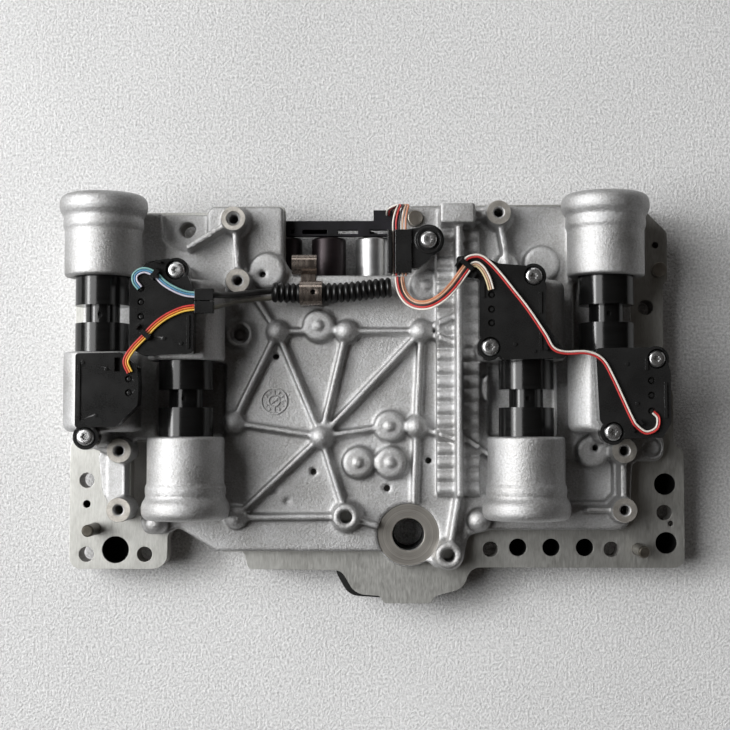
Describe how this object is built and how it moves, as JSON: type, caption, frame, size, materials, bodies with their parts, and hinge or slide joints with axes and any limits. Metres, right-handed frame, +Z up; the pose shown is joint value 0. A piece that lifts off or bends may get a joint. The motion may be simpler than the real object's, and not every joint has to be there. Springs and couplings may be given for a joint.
{
  "type": "transmission valve body",
  "caption": "Cast control valve body with shift cylinders and black pistons, position sensors, wiring, separator plate and solenoids, for a dual-clutch gearbox.",
  "frame": {"origin": "middle of the lower body's resting face, under the middle of the separator plate", "axes": "+X along the long side, to the right when the cylinders face the viewer; +Y towards the solenoid edge; +Z up, away from the resting face"},
  "size_m": [0.337, 0.2195, 0.086],
  "materials": {
    "cast_aluminium": "fine-grained die-cast",
    "machined_plate": "brushed, olive grey",
    "zinc_steel": "bright zinc",
    "black_plastic": "satin moulded black",
    "conduit_plastic": "corrugated black",
    "bronze_steel": "brown spring steel",
    "blue_wire": "wire insulation",
    "orange_wire": "wire insulation",
    "tan_wire": "wire insulation",
    "red_wire": "wire insulation",
    "dark_sleeve": "dark wire sleeve",
    "solenoid_steel": "drawn steel can",
    "spool_steel": "ground steel",
    "black_piston": "black hard-anodised, glossy",
    "seal_rubber": "moulded seal",
    "magnet_steel": "sintered magnet"
  },
  "bodies": {
    "housing": {"lower_body": "cast_aluminium", "upper_body": "cast_aluminium", "separator_plate": "machined_plate", "long_dowels": "machined_plate", "short_dowels": "machined_plate", "spool_plugs": "machined_plate", "body_bolts": "zinc_steel", "sensor_screws": "zinc_steel", "lead_frame": "black_plastic", "port_adapter": "black_plastic", "wire_guide": "black_plastic", "wire_tie": "black_plastic", "sensor_outer_left": "black_plastic", "sensor_inner_left": "black_plastic", "sensor_inner_right": "black_plastic", "sensor_outer_right": "black_plastic", "conduit": "conduit_plastic", "conduit_clip": "bronze_steel", "inner_left_leads": "blue_wire", "outer_left_leads": "orange_wire", "left_trunk": "dark_sleeve", "guide_leads": "tan_wire", "right_loop": "red_wire", "inner_right_leads": "tan_wire", "outer_right_leads": "red_wire", "solenoid_1": "solenoid_steel", "solenoid_2": "solenoid_steel", "solenoid_3": "solenoid_steel", "solenoid_4": "solenoid_steel", "solenoid_5": "solenoid_steel", "solenoid_6": "solenoid_steel", "spool_spring_1": "zinc_steel", "spool_spring_2": "zinc_steel", "spool_spring_3": "zinc_steel"},
    "piston_outer_left": {"shift_piston_outer_left": "black_piston", "piston_seals_outer_left": "seal_rubber", "magnet_outer_left": "magnet_steel"},
    "piston_inner_left": {"shift_piston_inner_left": "black_piston", "piston_seals_inner_left": "seal_rubber", "magnet_inner_left": "magnet_steel"},
    "piston_inner_right": {"shift_piston_inner_right": "black_piston", "piston_seals_inner_right": "seal_rubber", "magnet_inner_right": "magnet_steel"},
    "piston_outer_right": {"shift_piston_outer_right": "black_piston", "piston_seals_outer_right": "seal_rubber", "magnet_outer_right": "magnet_steel"},
    "valve_1": {"spool_1": "spool_steel"},
    "valve_2": {"spool_2": "spool_steel"},
    "valve_3": {"spool_3": "spool_steel"}
  },
  "joints": [
    {"name": "piston_outer_left_slide", "type": "slide", "parent": "housing", "child": "piston_outer_left", "axis": [0, 1, 0], "range_m": [-0.008, 0.008]},
    {"name": "piston_inner_left_slide", "type": "slide", "parent": "housing", "child": "piston_inner_left", "axis": [0, 1, 0], "range_m": [-0.008, 0.008]},
    {"name": "piston_inner_right_slide", "type": "slide", "parent": "housing", "child": "piston_inner_right", "axis": [0, 1, 0], "range_m": [-0.008, 0.008]},
    {"name": "piston_outer_right_slide", "type": "slide", "parent": "housing", "child": "piston_outer_right", "axis": [0, 1, 0], "range_m": [-0.008, 0.008]},
    {"name": "spool_1_slide", "type": "slide", "parent": "housing", "child": "valve_1", "axis": [0, -1, 0], "range_m": [0, 0.006], "stiffness_N_per_m": 900, "springref_m": -0.004, "deforming": ["spool_spring_1"]},
    {"name": "spool_2_slide", "type": "slide", "parent": "housing", "child": "valve_2", "axis": [0, -1, 0], "range_m": [0, 0.006], "stiffness_N_per_m": 900, "springref_m": -0.004, "deforming": ["spool_spring_2"]},
    {"name": "spool_3_slide", "type": "slide", "parent": "housing", "child": "valve_3", "axis": [0, -1, 0], "range_m": [0, 0.006], "stiffness_N_per_m": 900, "springref_m": -0.004, "deforming": ["spool_spring_3"]}
  ]
}
